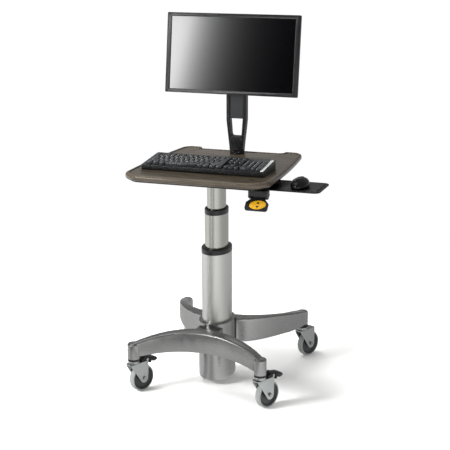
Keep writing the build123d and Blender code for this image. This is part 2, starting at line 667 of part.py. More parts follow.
# The mast is a neck with a window, opening out into two rails with a channel between them.
mast_half = [(25, mast_bottom), (28, 860), (rail_half, window_top), (rail_half, mast_top)]
window_half = [(21, 888), (channel_half, window_top)]
with BuildPart() as mast:
    with BuildSketch(Plane.XZ.offset(-mast_back_y)) as front_view:
        with BuildLine():
            Polyline(*mast_half, *[(-x, z) for x, z in reversed(mast_half)], close=True)
        make_face()
        with BuildLine():
            Polyline(*window_half, *[(-x, z) for x, z in reversed(window_half)], close=True)
        make_face(mode=Mode.SUBTRACT)
        fillet(front_view.vertices().group_by(Axis.Y)[-1], 8)
        fillet(front_view.vertices().group_by(Axis.Y)[2], 8)
    extrude(amount=mast_depth)
    fillet(mast.edges().filter_by(Axis.Z).filter_by(lambda e: abs(e.center().X) > 30), 3)
    with BuildSketch(Plane.XZ.offset(-mast_front_y)):
        with Locations((0, (window_top + channel_top) / 2)):
            Rectangle(2 * channel_half, channel_top - window_top)
    extrude(amount=-channel_depth, mode=Mode.SUBTRACT)
keep(mast.part, "mast")

with BuildPart() as mast_channel:
    with BuildSketch(Plane.XZ.offset(-mast_front_y - channel_depth)):
        with Locations((0, (window_top + channel_top) / 2)):
            Rectangle(2 * channel_half, channel_top - window_top)
    extrude(amount=channel_depth - 4)
keep(mast_channel.part, "mast_channel")

with BuildPart() as mast_slider:
    with BuildSketch(Plane.XZ.offset(-mast_front_y - 3.7)):
        with Locations((0, (slider_z0 + slider_z1) / 2)):
            RectangleRounded(2 * channel_half - 2 * slide_gap, slider_z1 - slider_z0, 3)
    extrude(amount=4.4)
    with BuildSketch(Plane.YZ.offset(-9)):
        with Locations((tilt_y, tilt_z)):
            Circle(7)
        with Locations(((tilt_y + mast_front_y) / 2, tilt_z)):
            Rectangle(mast_front_y - tilt_y, 14)
    extrude(amount=18)
    with BuildSketch(Plane.YZ.offset(-9)):
        with Locations((tilt_y, tilt_z)):
            Circle(tilt_pin_r)
    extrude(amount=18, mode=Mode.SUBTRACT)
keep(mast_slider.part, "mast_slider")

with BuildPart() as tilt_pin:
    with BuildSketch(Plane.YZ.offset(-14)):
        with Locations((tilt_y, tilt_z)):
            Circle(tilt_pin_r)
    extrude(amount=28)
    for x in (-16.5, 14):
        with BuildSketch(Plane.YZ.offset(x)):
            with Locations((tilt_y, tilt_z)):
                Circle(5)
        extrude(amount=2.5)
keep(tilt_pin.part, "tilt_pin")

tilt = math.radians(screen_tilt)
screen_out = (0, -math.cos(tilt), math.sin(tilt))
screen_plane = Plane(origin=(0, screen_y, screen_z), x_dir=(1, 0, 0), z_dir=screen_out)
bracket_thickness = 3.0
pin_up = (tilt_y - screen_y) * math.sin(tilt)
pin_back = (tilt_y - screen_y) * math.cos(tilt)
button_row = [(150 + 14 * i, -140) for i in range(5)]

with BuildPart() as monitor_bezel:
    with BuildSketch(screen_plane):
        RectangleRounded(monitor_w, monitor_h, 4)
        Rectangle(active_w, active_h, mode=Mode.SUBTRACT)
    extrude(amount=-bezel_depth)
    with BuildSketch(screen_plane):
        with Locations(*button_row):
            Rectangle(8.4, 3.4)
    extrude(amount=-2, mode=Mode.SUBTRACT)
keep(monitor_bezel.part, "monitor_bezel")

with BuildPart() as monitor_buttons:
    with BuildSketch(screen_plane.offset(-1.2)):
        with Locations(*button_row):
            Rectangle(8, 3)
    extrude(amount=1.6)
keep(monitor_buttons.part, "monitor_buttons")

with BuildPart() as monitor_screen:
    with BuildSketch(screen_plane.offset(-1.5)):
        Rectangle(active_w, active_h)
    extrude(amount=-bezel_depth + 1.5)
keep(monitor_screen.part, "monitor_screen")

with BuildPart() as monitor_back_cover:
    with BuildSketch(screen_plane.offset(-bezel_depth)):
        RectangleRounded(monitor_w - 3, monitor_h - 3, 4)
    extrude(amount=-3)
    with BuildSketch(screen_plane.offset(-bezel_depth - 3)):
        RectangleRounded(bulge_w, bulge_h, 20)
    extrude(amount=-(monitor_depth - bezel_depth - 3), taper=35)
keep(monitor_back_cover.part, "monitor_back_cover")

with BuildPart() as vesa_bracket:
    with BuildSketch(screen_plane.offset(-monitor_depth)):
        RectangleRounded(116, 116, 6)
        with Locations((0, -40)):
            SlotOverall(40, 12, mode=Mode.SUBTRACT)
    extrude(amount=-bracket_thickness)
    for x in (-13.5, 9.5):
        ear_plane = Plane(origin=(x, screen_y, screen_z), x_dir=screen_plane.y_dir, z_dir=(1, 0, 0))
        with BuildSketch(ear_plane):
            with Locations((pin_up, -pin_back)):
                Circle(7.5)
            with Locations((pin_up, -monitor_depth - 1)):
                Rectangle(34, 2)
            make_hull()
        extrude(amount=4)
    with BuildSketch(Plane.YZ.offset(-20)):
        with Locations((tilt_y, tilt_z)):
            Circle(tilt_pin_r + running)
    extrude(amount=40, mode=Mode.SUBTRACT)
keep(vesa_bracket.part, "vesa_bracket")

with BuildPart() as vesa_screws:
    with BuildSketch(screen_plane.offset(-monitor_depth - bracket_thickness)):
        with GridLocations(100, 100, 2, 2):
            Circle(4)
    extrude(amount=-2.4)
keep(vesa_screws.part, "vesa_screws")

# ================= casters =================

turn_cos, turn_sin = math.cos(math.radians(caster_turn)), math.sin(math.radians(caster_turn))


def caster_side(x, y, back=0, up=0):
    # upright plane through the swivel axis: local x runs back along the trail, local y is up
    return Plane(origin=(x + back * turn_cos, y + back * turn_sin, up), x_dir=(turn_cos, turn_sin, 0),
                 z_dir=(turn_sin, -turn_cos, 0))


def caster_plan(x, y, z):
    return Plane(origin=(x, y, z), x_dir=(turn_cos, turn_sin, 0), z_dir=(0, 0, 1))


def caster_fork(x, y, label, braked):
    side = caster_side(x, y)
    crown_top = crown_z + crown_thickness
    crown_mid = (crown_front + crown_rear) / 2
    with BuildPart() as fork:
        with BuildSketch(side.offset(-fork_half)):
            with Locations((trail, wheel_r)):
                Circle(cheek_r)
            with Locations((crown_mid, crown_z + crown_thickness / 2)):
                Rectangle(crown_rear - crown_front, crown_thickness)
            make_hull()
        extrude(amount=2 * fork_half)
        with BuildSketch(caster_plan(x, y, 0)):
            with Locations((crown_mid, 0)):
                RectangleRounded(crown_rear - crown_front, 2 * fork_half, 8)
        extrude(amount=crown_top, mode=Mode.INTERSECT)
        with BuildSketch(side.offset(-fork_half + cheek)):
            with Locations((crown_mid, crown_z / 2)):
                Rectangle(2 * (crown_rear - crown_front), crown_z)
        extrude(amount=2 * (fork_half - cheek), mode=Mode.SUBTRACT)
        if braked:
            with BuildSketch(side.offset(-fork_half)):
                with Locations((pedal_t, pedal_z)):
                    Circle(5)
                with Locations((pedal_t, (crown_top + pedal_z) / 2)):
                    Rectangle(10, pedal_z - crown_top)
            extrude(amount=2 * fork_half)
            with BuildSketch(caster_plan(x, y, crown_top)):
                with Locations((pedal_t, 0)):
                    Rectangle(20, 2 * (fork_half - cheek))
            extrude(amount=20, mode=Mode.SUBTRACT)
        with BuildSketch(Plane.XY.offset(crown_top)):
            with Locations((x, y)):
                Circle(neck_r)
        extrude(amount=neck_z - crown_top)
        with BuildSketch(Plane.XY.offset(neck_z)):
            with Locations((x, y)):
                Circle(head_r)
        extrude(amount=head_z - neck_z, taper=8)
        with BuildSketch(Plane.XY.offset(crown_z)):
            with Locations((x, y)):
                Circle(stem_r + running)
        extrude(amount=head_z - crown_z, mode=Mode.SUBTRACT)
        with BuildSketch(side.offset(-fork_half)):
            with Locations((trail, wheel_r)):
                Circle(axle_r)
            if braked:
                with Locations((pedal_t, pedal_z)):
                    Circle(pedal_pin_r)
        extrude(amount=2 * fork_half, mode=Mode.SUBTRACT)
    keep(fork.part, label)


def caster_axle(x, y, label, braked):
    side = caster_side(x, y)
    with BuildPart() as axle:
        with BuildSketch(side.offset(-fork_half)):
            with Locations((trail, wheel_r)):
                Circle(axle_r)
            if braked:
                with Locations((pedal_t, pedal_z)):
                    Circle(pedal_pin_r)
        extrude(amount=2 * fork_half)
        for start, amount in ((fork_half, nut_h), (-fork_half, -nut_h)):
            with BuildSketch(side.offset(start)):
                with Locations((trail, wheel_r)):
                    RegularPolygon(nut_r, 6)
            extrude(amount=amount)
    keep(axle.part, label)


def wheel_ring(x, y, label, points):
    # a ring turned about the axle from half of its section: (radius, half-width) points
    hub_x, hub_y = x + trail * turn_cos, y + trail * turn_sin
    with BuildPart() as ring:
        with BuildSketch(Plane(origin=(hub_x, hub_y, wheel_r), x_dir=(turn_sin, -turn_cos, 0),
                               z_dir=(turn_cos, turn_sin, 0))):
            with BuildLine():
                Polyline(*[(w, r) for r, w in points], *[(-w, r) for r, w in reversed(points)], close=True)
            make_face()
        revolve(axis=Axis((hub_x, hub_y, wheel_r), (turn_sin, -turn_cos, 0)))
    keep(ring.part, label)


# side view of the brake pedal about its pin: toe end, grip, foot pad and the cam over the tyre
pedal_side = [(-26, -3.6), (-26, 3), (-14, 6), (-12, 11), (4, 12), (12, 6), (28, 4), (40, 1), (46, -6),
              (44, -11), (32, -14), (17, -10), (16, -16), (11, -16), (11, -3), (7, -2.6), (0, -3.6)]


def brake_pedal(x, y, label):
    side = caster_side(x, y, pedal_t, pedal_z)
    reach = fork_half - cheek - slide_gap
    with BuildPart() as pedal:
        with BuildSketch(side.offset(-reach)):
            with BuildLine():
                Polyline(*pedal_side, close=True)
            make_face()
            Circle(pedal_z - crown_z - crown_thickness - slide_gap)
        extrude(amount=2 * reach)
        with BuildSketch(side.offset(-pad_half)):
            with BuildLine():
                Polyline(*pedal_side, close=True)
            make_face()
            with Locations((pad_start + crown_rear, 0)):
                Rectangle(2 * crown_rear, crown_rear, mode=Mode.INTERSECT)
        extrude(amount=2 * pad_half)
        with BuildSketch(side.offset(-reach)):
            Circle(pedal_pin_r + running)
        extrude(amount=2 * reach, mode=Mode.SUBTRACT)
    keep(pedal.part, label)


shoulder = tyre_w / 2
tyre_section = [(wheel_r - tyre_wall, shoulder), (wheel_r - 3, shoulder), (wheel_r - 0.8, shoulder - 3),
                (wheel_r, shoulder - 7)]
core_half = fork_half - cheek - slide_gap
core_section = [(axle_r + running, core_half), (12, core_half), (14, 6), (33, 6), (35, shoulder - 2),
                (wheel_r - tyre_wall, shoulder - 1)]
for end, y in (("front", -pivot_y), ("rear", pivot_y)):
    for hand, x in (("left", -pivot_x), ("right", pivot_x)):
        braked = end == "front"
        caster_fork(x, y, f"caster_fork_{end}_{hand}", braked)
        caster_axle(x, y, f"caster_axle_{end}_{hand}", braked)
        wheel_ring(x, y, f"caster_tyre_{end}_{hand}", tyre_section)
        wheel_ring(x, y, f"caster_wheel_{end}_{hand}", core_section)
        if braked:
            brake_pedal(x, y, f"brake_pedal_{hand}")
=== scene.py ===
import bpy, math
from mathutils import Vector, Matrix


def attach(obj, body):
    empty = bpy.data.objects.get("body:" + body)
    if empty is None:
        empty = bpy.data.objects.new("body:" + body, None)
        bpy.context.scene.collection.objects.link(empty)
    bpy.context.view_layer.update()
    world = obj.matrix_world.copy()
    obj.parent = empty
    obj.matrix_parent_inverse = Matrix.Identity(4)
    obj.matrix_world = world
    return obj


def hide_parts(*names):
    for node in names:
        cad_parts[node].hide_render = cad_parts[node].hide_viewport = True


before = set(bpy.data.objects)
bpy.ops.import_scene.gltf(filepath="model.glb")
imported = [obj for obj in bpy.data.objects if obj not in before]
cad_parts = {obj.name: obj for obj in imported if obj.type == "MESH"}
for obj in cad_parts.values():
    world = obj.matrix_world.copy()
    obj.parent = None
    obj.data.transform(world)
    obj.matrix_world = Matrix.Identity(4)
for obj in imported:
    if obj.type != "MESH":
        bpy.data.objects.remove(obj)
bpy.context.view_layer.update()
mm = 0.001
weld = 0.01 * mm                                       # points nearer than this are joined
flat = math.radians(0.5)                               # triangles within this make one face
sideways = Vector((1, 0, 0))


def toLinear(hexColour):
    # sRGB hex to the linear colour a shader wants
    parts = [int(hexColour[i:i + 2], 16) / 255 for i in (1, 3, 5)]
    return [c / 12.92 if c <= 0.04045 else ((c + 0.055) / 1.055) ** 2.4 for c in parts] + [1.0]


def addNode(tree, kind, settings=None, links=None, feeds=None):
    # settings by attribute or input, links into its inputs, feeds from its outputs
    node = tree.nodes.new(kind)
    for name, value in (settings or {}).items():
        value = toLinear(value) if isinstance(value, str) and value.startswith("#") else value
        if isinstance(name, str) and hasattr(node, name):
            setattr(node, name, value)
        else:
            node.inputs[name].default_value = value
    for name, socket in (links or {}).items():
        tree.links.new(socket, node.inputs[name])
    for name, socket in (feeds or {}).items():
        tree.links.new(node.outputs[name], socket)
    return node


def startMaterial(name, settings):
    # returns the material, its tree, its shader and Object coordinates in metres
    material = bpy.data.materials.new(name)
    material.use_nodes = True
    tree = material.node_tree
    shader = tree.nodes["Principled BSDF"]
    for key, value in settings.items():
        shader.inputs[key].default_value = toLinear(value) if isinstance(value, str) else value
    return material, tree, shader, addNode(tree, "ShaderNodeTexCoord").outputs["Object"]


def selectOnly(piece):
    if bpy.context.object and bpy.context.object.mode != "OBJECT":
        bpy.ops.object.mode_set(mode="OBJECT")
    bpy.ops.object.select_all(action="DESELECT")
    piece.select_set(True)
    bpy.context.view_layer.objects.active = piece


def startPiece(name, addPrimitive, **settings):
    bpy.ops.object.select_all(action="DESELECT")
    addPrimitive(**settings)
    piece = bpy.context.active_object
    piece.name = piece.data.name = name
    return piece


def cadCopy(node, name):
    # a copy of a CAD mesh, welded, with its flat triangles joined into faces
    piece = bpy.data.objects.new(name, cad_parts[node].data.copy())
    bpy.context.scene.collection.objects.link(piece)
    selectOnly(piece)
    bpy.ops.object.mode_set(mode="EDIT")
    bpy.ops.mesh.select_all(action="SELECT")
    bpy.ops.mesh.remove_doubles(threshold=weld)
    bpy.ops.mesh.dissolve_limited(angle_limit=flat)
    bpy.ops.object.mode_set(mode="OBJECT")
    return piece


def pickFaces(piece, test):
    # leaves the piece in edit mode with the faces that pass test(centre, normal) selected
    selectOnly(piece)
    bpy.ops.object.mode_set(mode="EDIT")
    bpy.ops.mesh.select_mode(type="FACE")
    bpy.ops.mesh.select_all(action="DESELECT")
    bpy.ops.object.mode_set(mode="OBJECT")
    for face in piece.data.polygons:
        face.select = test(face.center, face.normal)
    bpy.ops.object.mode_set(mode="EDIT")


def pickEdges(piece, test):
    # the same for edges, with test(first end, second end)
    selectOnly(piece)
    bpy.ops.object.mode_set(mode="EDIT")
    bpy.ops.mesh.select_mode(type="EDGE")
    bpy.ops.mesh.select_all(action="DESELECT")
    bpy.ops.object.mode_set(mode="OBJECT")
    points = piece.data.vertices
    for edge in piece.data.edges:
        edge.select = test(points[edge.vertices[0]].co, points[edge.vertices[1]].co)
    bpy.ops.object.mode_set(mode="EDIT")


def applyModifier(piece, kind, **settings):
    selectOnly(piece)
    modifier = piece.modifiers.new(kind, kind)
    for key, value in settings.items():
        setattr(modifier, key, value)
    bpy.ops.object.modifier_apply(modifier=modifier.name)


def softenEdges(piece, width, segments, angle):
    # rounds each edge sharper than angle, as far as its neighbours leave room
    applyModifier(piece, "BEVEL", width=width * mm, segments=segments, limit_method="ANGLE",
                  angle_limit=math.radians(angle), use_clamp_overlap=True)


def castSkin(piece, grain, passes):
    # the mould's rounding: an even skin of small quads, relaxed until every edge is soft
    applyModifier(piece, "REMESH", mode="VOXEL", voxel_size=grain * mm)
    applyModifier(piece, "SMOOTH", factor=0.5, iterations=passes)


def finishPiece(piece, finish, body, stands=(), smooth=32):
    selectOnly(piece)
    bpy.ops.object.transform_apply(location=True, rotation=True, scale=True)
    bpy.ops.object.shade_smooth_by_angle(angle=math.radians(smooth))
    piece.data.materials.clear()
    piece.data.materials.append(finish)
    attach(piece, body)
    if stands:
        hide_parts(*stands)


print("materials")


def castAluminium():
    # sand-cast aluminium, linished along its length and lacquered: grey, satin, with soft
    # brush marks and faint cloudy patches where the belt ran
    material, tree, shader, points = startMaterial("castAluminiumLinished", {
        "Base Color": "#a8a9a7", "Metallic": 1.0, "Roughness": 0.3})
    along = addNode(tree, "ShaderNodeMapping", {"Scale": (12, 25, 420)}, {"Vector": points})
    brushed = addNode(tree, "ShaderNodeTexNoise", {"Scale": 1.0, "Detail": 3.0}, {"Vector": along.outputs[0]})
    cloudy = addNode(tree, "ShaderNodeTexNoise", {"Scale": 11.0, "Detail": 3.0}, {"Vector": points})
    addNode(tree, "ShaderNodeMix", {"data_type": "RGBA", 6: "#9b9d9d", 7: "#b4b4b1"}, {0: cloudy.outputs[0]},
            {2: shader.inputs["Base Color"]})
    addNode(tree, "ShaderNodeMapRange", {"To Min": 0.25, "To Max": 0.31}, {"Value": brushed.outputs[0]},
            {0: shader.inputs["Roughness"]})
    addNode(tree, "ShaderNodeBump", {"Strength": 0.01, "Distance": 0.0002}, {"Height": brushed.outputs[0]},
            {0: shader.inputs["Normal"]})
    return material


def drawnAluminium(name, colour, roughness):
    # drawn aluminium tube, clear anodised: pale and even, with very fine lines along the draw
    material, tree, shader, points = startMaterial(name, {
        "Base Color": colour, "Metallic": 1.0, "Roughness": roughness})
    along = addNode(tree, "ShaderNodeMapping", {"Scale": (900, 900, 5)}, {"Vector": points})
    drawn = addNode(tree, "ShaderNodeTexNoise", {"Scale": 1.0, "Detail": 2.0}, {"Vector": along.outputs[0]})
    addNode(tree, "ShaderNodeMapRange", {"To Min": roughness - 0.05, "To Max": roughness + 0.09},
            {"Value": drawn.outputs[0]}, {0: shader.inputs["Roughness"]})
    addNode(tree, "ShaderNodeBump", {"Strength": 0.02, "Distance": 0.0001}, {"Height": drawn.outputs[0]},
            {0: shader.inputs["Normal"]})
    return material


def mouldedPlastic(name, low, high, roughness, grainMm, bump):
    # injection-moulded plastic: the mould's spark-eroded grain, grainMm across, breaks up the shine
    material, tree, shader, points = startMaterial(name, {"Base Color": low, "Roughness": roughness})
    grain = addNode(tree, "ShaderNodeTexNoise", {"Scale": 1 / (grainMm * mm), "Detail": 2.0},
                    {"Vector": points})
    patch = addNode(tree, "ShaderNodeTexNoise", {"Scale": 22.0, "Detail": 1.0}, {"Vector": points})
    addNode(tree, "ShaderNodeMix", {"data_type": "RGBA", 6: low, 7: high}, {0: patch.outputs[0]},
            {2: shader.inputs["Base Color"]})
    addNode(tree, "ShaderNodeMapRange", {"To Min": roughness - 0.07, "To Max": roughness + 0.07},
            {"Value": grain.outputs[0]}, {0: shader.inputs["Roughness"]})
    addNode(tree, "ShaderNodeBump", {"Strength": bump, "Distance": 0.0002}, {"Height": grain.outputs[0]},
            {0: shader.inputs["Normal"]})
    return material


def powderCoat(name, low, high):
    # black powder coat baked on steel: low sheen with a slight orange peel about 1 mm across
    material, tree, shader, points = startMaterial(name, {"Base Color": low, "Roughness": 0.4})
    peel = addNode(tree, "ShaderNodeTexVoronoi", {"Scale": 900.0}, {"Vector": points})
    addNode(tree, "ShaderNodeMix", {"data_type": "RGBA", 6: low, 7: high}, {0: peel.outputs["Distance"]},
            {2: shader.inputs["Base Color"]})
    addNode(tree, "ShaderNodeMapRange", {"To Min": 0.33, "To Max": 0.48}, {"Value": peel.outputs["Distance"]},
            {0: shader.inputs["Roughness"]})
    addNode(tree, "ShaderNodeBump", {"Strength": 0.12, "Distance": 0.0002},
            {"Height": peel.outputs["Distance"]}, {0: shader.inputs["Normal"]})
    return material


def platedSteel(name, low, high, roughness):
    # bright zinc on pressed steel: bluish white, faintly mottled by the plating bath
    material, tree, shader, points = startMaterial(name, {
        "Base Color": low, "Metallic": 1.0, "Roughness": roughness})
    spangle = addNode(tree, "ShaderNodeTexNoise", {"Scale": 240.0, "Detail": 3.0}, {"Vector": points})
    addNode(tree, "ShaderNodeMix", {"data_type": "RGBA", 6: low, 7: high}, {0: spangle.outputs[0]},
            {2: shader.inputs["Base Color"]})
    addNode(tree, "ShaderNodeMapRange", {"To Min": roughness - 0.08, "To Max": roughness + 0.12},
            {"Value": spangle.outputs[0]}, {0: shader.inputs["Roughness"]})
    addNode(tree, "ShaderNodeBump", {"Strength": 0.06, "Distance": 0.0001}, {"Height": spangle.outputs[0]},
            {0: shader.inputs["Normal"]})
    return material


def woodFoil():
    # taupe wood-grain foil, heat-formed over the board: broad soft figure along X, fine pores
    # half a millimetre wide, and a low satin that follows the pores
    material, tree, shader, points = startMaterial("woodGrainFoilTaupe", {
        "Base Color": "#4a4136", "Roughness": 0.3, "Coat Weight": 0.35, "Coat Roughness": 0.12})
    stretched = addNode(tree, "ShaderNodeMapping", {"Scale": (0.3, 1, 1)}, {"Vector": points})
    figure = addNode(tree, "ShaderNodeTexWave", {"bands_direction": "Y", "Scale": 7.0, "Distortion": 16.0,
                     "Detail": 3.0, "Detail Scale": 1.3}, {"Vector": stretched.outputs[0]})
    long = addNode(tree, "ShaderNodeMapping", {"Scale": (14, 800, 800)}, {"Vector": points})
    pores = addNode(tree, "ShaderNodeTexNoise", {"Scale": 1.0, "Detail": 5.0, "Roughness": 0.65},
                    {"Vector": long.outputs[0]})
    broad = addNode(tree, "ShaderNodeMix", {"data_type": "RGBA", 6: "#3b332a", 7: "#484035"},
                    {0: figure.outputs[0]})
    streaks = addNode(tree, "ShaderNodeMapRange", {"From Min": 0.34, "From Max": 0.6, "To Min": 0.72},
                      {"Value": pores.outputs[0]})
    addNode(tree, "ShaderNodeMix", {"data_type": "RGBA", "blend_type": "MULTIPLY", 0: 0.75},
            {6: broad.outputs[2], 7: streaks.outputs[0]}, {2: shader.inputs["Base Color"]})
    addNode(tree, "ShaderNodeMapRange", {"To Min": 0.42, "To Max": 0.24}, {"Value": pores.outputs[0]},
            {0: shader.inputs["Roughness"]})
    addNode(tree, "ShaderNodeBump", {"Strength": 0.1, "Distance": 0.0002}, {"Height": pores.outputs[0]},
            {0: shader.inputs["Normal"]})
    return material


def displayFilm():
    # liquid-crystal panel behind a gloss film, switched off: black, with a long soft reflection
    material, tree, shader, points = startMaterial("displayFilmGloss", {
        "Base Color": "#030304", "Roughness": 0.09})
    dust = addNode(tree, "ShaderNodeTexNoise", {"Scale": 70.0, "Detail": 3.0}, {"Vector": points})
    addNode(tree, "ShaderNodeMapRange", {"To Min": 0.07, "To Max": 0.1}, {"Value": dust.outputs[0]},
            {0: shader.inputs["Roughness"]})
    return material


def mouldedRubber(name, low, high, roughness):
    # moulded non-marking rubber: dull, with a dusty bloom and a fine grit
    material, tree, shader, points = startMaterial(name, {"Base Color": low, "Roughness": roughness})
    bloom = addNode(tree, "ShaderNodeTexNoise", {"Scale": 45.0, "Detail": 4.0}, {"Vector": points})
    grit = addNode(tree, "ShaderNodeTexNoise", {"Scale": 1500.0, "Detail": 1.0}, {"Vector": points})
    addNode(tree, "ShaderNodeMix", {"data_type": "RGBA", 6: low, 7: high}, {0: bloom.outputs[0]},
            {2: shader.inputs["Base Color"]})
    addNode(tree, "ShaderNodeBump", {"Strength": 0.15, "Distance": 0.0002}, {"Height": grit.outputs[0]},
            {0: shader.inputs["Normal"]})
    return material


# moulded plastics: name, darker and lighter colour, roughness, grain in mm, bump strength
plastics = {
    "collar": ("acetalBlackMoulded", "#0b0a0b", "#121112", 0.34, 0.7, 0.1),          # waxy and slippery
    "housing": ("absBlackMoulded", "#0b0b0c", "#131314", 0.42, 0.6, 0.14),           # dull, grained
    "keyCase": ("absCharcoalTextured", "#0c0d0e", "#131416", 0.3, 0.5, 0.1),         # satin, fine texture
    "keyCap": ("absKeycapMatt", "#1b1c1e", "#26282a", 0.3, 0.4, 0.1),                # rubbed by fingers
    "legend": ("legendInkPale", "#c9cac6", "#d6d7d3", 0.5, 0.6, 0.02),               # flat printed ink
    "gloss": ("absBlackPolished", "#050506", "#080809", 0.12, 3.0, 0.02),            # mirror-like
    "bezel": ("absBezelFineGrain", "#0a0a0b", "#101011", 0.34, 0.5, 0.12),           # fine even grain
    "channel": ("nylonDarkGrey", "#1f2122", "#2a2c2d", 0.36, 0.8, 0.08),             # greyer than the steel
    "wheelCore": ("nylonWheelGrey", "#232526", "#303334", 0.4, 0.9, 0.08),           # dull dark grey
    "pedal": ("nylonPedalBlack", "#0c0c0d", "#141415", 0.38, 0.8, 0.1),              # scuffed satin
    "yellow": ("vinylLabelYellow", "#b1830c", "#bd8f14", 0.3, 1.5, 0.03),            # smooth printed film
    "ink": ("labelInkBlack", "#0a0a0a", "#101010", 0.4, 1.5, 0.02),                  # flat printed ink
    "knob": ("phenolicDarkRed", "#33110e", "#431713", 0.35, 0.9, 0.05),              # hard, faintly mottled
    "highlightStrip": ("paintedHighlightSilver", "#b4b6b5", "#c2c3c1", 0.3, 0.5, 0.04),              # pale paint standing in for a highlight: painted highlight
}
# plated steels: name, darker and lighter colour, roughness
platings = {
    "zinc": ("zincPlatedPressing", "#b2b6b6", "#cdd0cf", 0.34),                      # bluish, mottled
    "screw": ("zincPlatedScrew", "#9c9e9e", "#b9bbba", 0.28),                        # darker, sharper
}
# moulded rubbers: name, darker and lighter colour, roughness
rubbers = {
    "tyre": ("thermoplasticRubberGrey", "#747877", "#878b89", 0.4),                  # smooth pale tread
    "scroll": ("thermoplasticRubberBlack", "#101010", "#191919", 0.7),               # dull, gritty
}
finishes = {
    "cast": castAluminium(),
    "outerTube": drawnAluminium("aluminiumDrawnSatinAnodised", "#dadad6", roughness=0.4),
    "slidingTube": drawnAluminium("aluminiumDrawnBrightAnodised", "#b4b4ae", roughness=0.22),
    "powder": powderCoat("powderCoatBlack", "#08080a", "#101011"),
    "laminate": woodFoil(),
    "screen": displayFilm(),
}
for makeFinish, family in ((mouldedPlastic, plastics), (platedSteel, platings), (mouldedRubber, rubbers)):
    finishes.update({use: makeFinish(*look) for use, look in family.items()})

# CAD nodes that keep their own shape and take a finish
corners = [end + "_" + hand for end in ("front", "rear") for hand in ("left", "right")]
cadFinish = {
    "cast": ["hub_housing", "hub_bottom_cover"],
    "outerTube": ["outer_column"],
    "slidingTube": ["mid_column", "inner_column"],
    "powder": ["column_top_plate", "support_pan", "tray_rails", "mast_slider", "vesa_bracket",
               "gas_spring_cylinder", "caster_stems"],
    "screw": ["leg_bolts", "gas_spring_rod", "paddle_pin", "mast_bolts", "vesa_screws", "tilt_pin"]
             + ["caster_axle_" + corner for corner in corners],
    "knob": ["tray_knob"],
    "scroll": ["mouse_wheel"],
    "channel": ["mast_channel"],
    "screen": ["monitor_screen"],
    "bezel": ["monitor_buttons"],
}
for finish, nodes in cadFinish.items():
    for node in nodes:
        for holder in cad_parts[node].material_slots:
            holder.material = finishes[finish]

print("base")

# in each piece's dictionary, an edge is its round in mm, its steps, and the least angle rounded
castBase = {"frontEdge": (0.8, 2, 40), "rearGrain": 2.2, "rearPasses": 40, "collarEdge": (1.2, 3, 40)}
beam = cadCopy("front_beam", "frontBeamCasting")
softenEdges(beam, *castBase["frontEdge"])
finishPiece(beam, finishes["cast"], "base", ["front_beam"], smooth=40)

# the rear beam has no drawn rounding, so its whole skin is relaxed
beam = cadCopy("rear_beam", "rearBeamCasting")
castSkin(beam, castBase["rearGrain"], castBase["rearPasses"])
finishPiece(beam, finishes["cast"], "base", ["rear_beam"], smooth=60)

for node, body in (("lower_collar", "base"), ("upper_collar", "column_middle")):
    collar = cadCopy(node, node.replace("_c", "C") + "Moulding")
    softenEdges(collar, *castBase["collarEdge"])
    finishPiece(collar, finishes["collar"], body, [node])

print("casters")

caster = {"pivotX": 0.2415, "pivotY": 0.274, "turn": math.radians(63), "trail": 0.035, "axleHeight": 0.05,
          "steps": 80, "forkEdge": (0.9, 2, 40), "pedalEdge": (1.2, 2, 28)}
trailWay = Vector((math.cos(caster["turn"]), math.sin(caster["turn"]), 0))
axleWay = Vector((math.sin(caster["turn"]), -math.cos(caster["turn"]), 0))
# half sections in mm: distance from the axle, distance along it
tyreSection = [(44, 11.3), (45, 12.3), (46.8, 12.3), (48, 10.9), (49.1, 9.2), (49.6, 7), (49.93, 5),
               (49.93, 0)]
coreSection = [(44, 11.2), (42.5, 11.6), (40, 11.2), (38, 8.4), (35.5, 6.4), (24, 6), (17, 6.6), (14.2, 8.6),
               (12.6, 13.4), (11.4, 14.1), (4.2, 14.1)]


def spunRing(name, section, centre):
    # a closed section turned about the axle; its other half is the same section turned over
    outline = section + [(radius, -along) for radius, along in reversed(section) if along]
    ring = startPiece(name, bpy.ops.mesh.primitive_circle_add, vertices=len(outline))
    for vertex, (radius, along) in zip(ring.data.vertices, outline):
        vertex.co = centre + Vector((0, 0, radius * mm)) + axleWay * along * mm
    bpy.ops.object.mode_set(mode="EDIT")
    bpy.ops.mesh.select_all(action="SELECT")
    bpy.ops.mesh.spin(steps=caster["steps"], angle=2 * math.pi, center=centre, axis=axleWay)
    bpy.ops.mesh.select_all(action="SELECT")
    bpy.ops.mesh.remove_doubles(threshold=weld)
    bpy.ops.mesh.normals_make_consistent(inside=False)
    bpy.ops.object.mode_set(mode="OBJECT")
    return ring


for corner in corners:
    end, hand = corner.split("_")
    pivot = Vector((caster["pivotX"] * (1 if hand == "right" else -1),
                    caster["pivotY"] * (1 if end == "rear" else -1), 0))
    centre = pivot + trailWay * caster["trail"] + Vector((0, 0, caster["axleHeight"]))
    tag = end.capitalize() + hand.capitalize()
    fork = cadCopy("caster_fork_" + corner, "casterFork" + tag)
    softenEdges(fork, *caster["forkEdge"])
    finishPiece(fork, finishes["zinc"], "caster_" + corner, ["caster_fork_" + corner])
    tyre = spunRing("casterTyre" + tag, tyreSection, centre)
    finishPiece(tyre, finishes["tyre"], "wheel_" + corner, ["caster_tyre_" + corner])
    core = spunRing("casterWheel" + tag, coreSection, centre)
    finishPiece(core, finishes["wheelCore"], "wheel_" + corner, ["caster_wheel_" + corner])
    if end == "front":
        pedal = cadCopy("brake_pedal_" + hand, "brakePedal" + hand.capitalize())
        softenEdges(pedal, *caster["pedalEdge"])
        finishPiece(pedal, finishes["pedal"], "pedal_" + hand, ["brake_pedal_" + hand])

print("worktop")

